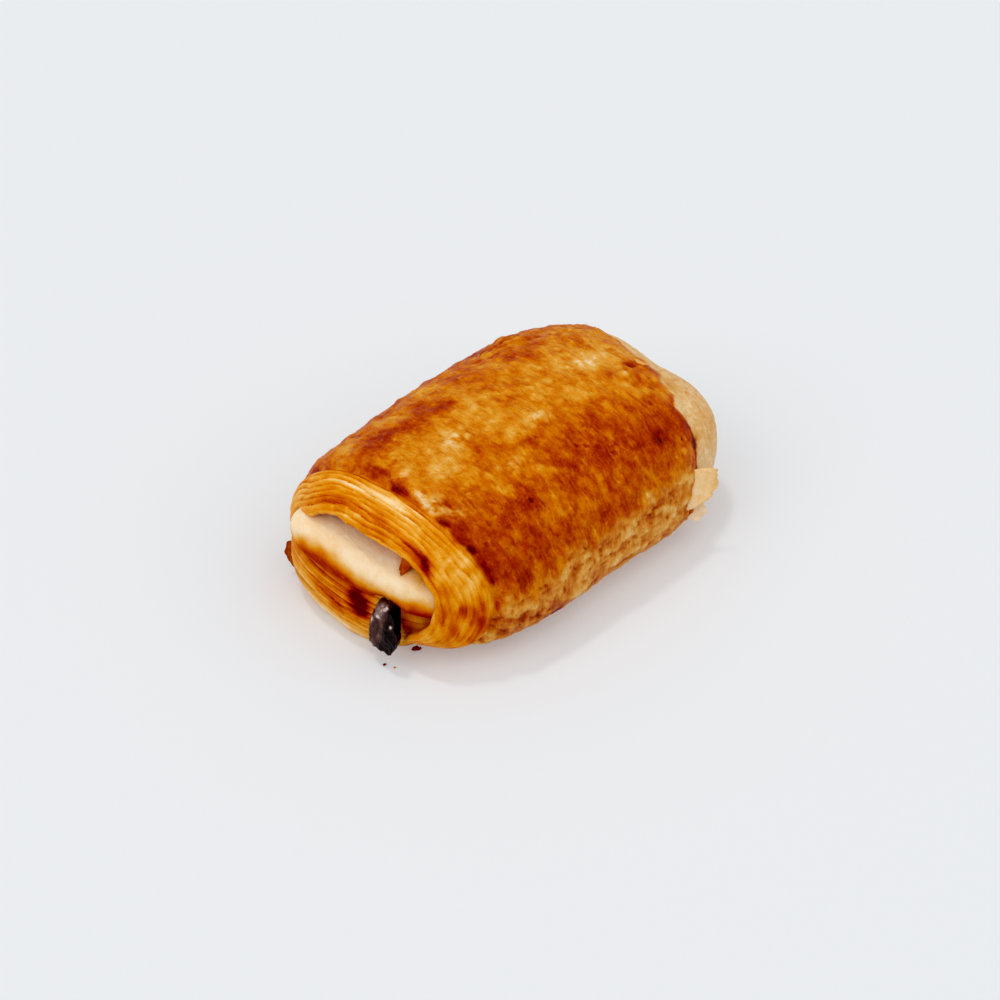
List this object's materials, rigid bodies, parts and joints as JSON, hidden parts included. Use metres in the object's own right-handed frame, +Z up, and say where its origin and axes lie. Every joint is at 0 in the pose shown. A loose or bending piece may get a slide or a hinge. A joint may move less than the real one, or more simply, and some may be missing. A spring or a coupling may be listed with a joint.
{
  "type": "pain au chocolat",
  "caption": "Baked roll of layered dough with a crisp browned crust, an open wound end that shows its layers, and a stick of dark chocolate running through it.",
  "frame": {"origin": "centre of the footprint of the whole part, on the surface it rests on", "axes": "+X along the roll from the wound end with the chocolate to the rounded far end, +Y across the roll to the side away from the viewer, +Z up"},
  "size_m": [0.105, 0.068, 0.0383],
  "materials": {
    "baked_crust": null,
    "dark_chocolate": null
  },
  "bodies": {
    "root": {"pastry": "baked_crust", "chocolate_stick": "dark_chocolate"}
  },
  "joints": []
}
